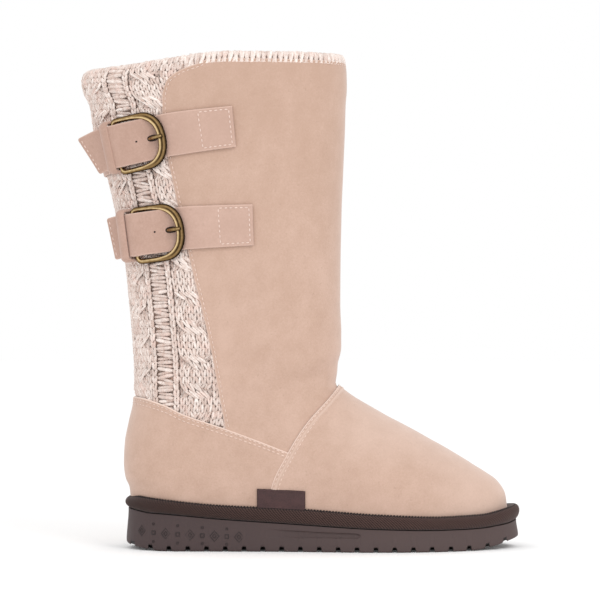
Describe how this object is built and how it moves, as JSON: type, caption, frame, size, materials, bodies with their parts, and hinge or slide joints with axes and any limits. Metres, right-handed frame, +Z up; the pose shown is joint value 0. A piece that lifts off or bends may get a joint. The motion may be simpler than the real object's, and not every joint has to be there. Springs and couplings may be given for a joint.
{
  "type": "mukluk boot",
  "caption": "Pull-on winter boot for the right foot: suede upper, knitted back panel and rim, buckled straps, wrapped midsole and lugged outsole.",
  "frame": {"origin": "on the ground under the middle of the heel", "axes": "+Z up, +X towards the toe, -Y to the outer side of the right foot"},
  "size_m": [0.2975, 0.1031, 0.3336],
  "materials": {
    "suede": "matte faux suede, blush beige",
    "strap_suede": "matte faux suede, slightly darker",
    "knit": "marled cable knit, cream, beige and pink yarn",
    "band_fabric": "dark brown twill tape",
    "rubber": "moulded foam rubber, matte brown grey",
    "fleece": "short pile lining",
    "tab_fabric": "woven dark brown tape, bare",
    "brass": "antique brass, darkened in the corners"
  },
  "bodies": {
    "root": {"outsole": "rubber", "midsole": "band_fabric", "insole": "fleece", "upper": "suede", "knit_panel": "knit", "side_tab": "tab_fabric", "buckle_upper": "brass", "prong_upper": "brass", "keeper_upper": "strap_suede", "strap_upper": "strap_suede", "chape_upper": "strap_suede", "buckle_lower": "brass", "prong_lower": "brass", "keeper_lower": "strap_suede", "strap_lower": "strap_suede", "chape_lower": "strap_suede"}
  },
  "joints": []
}
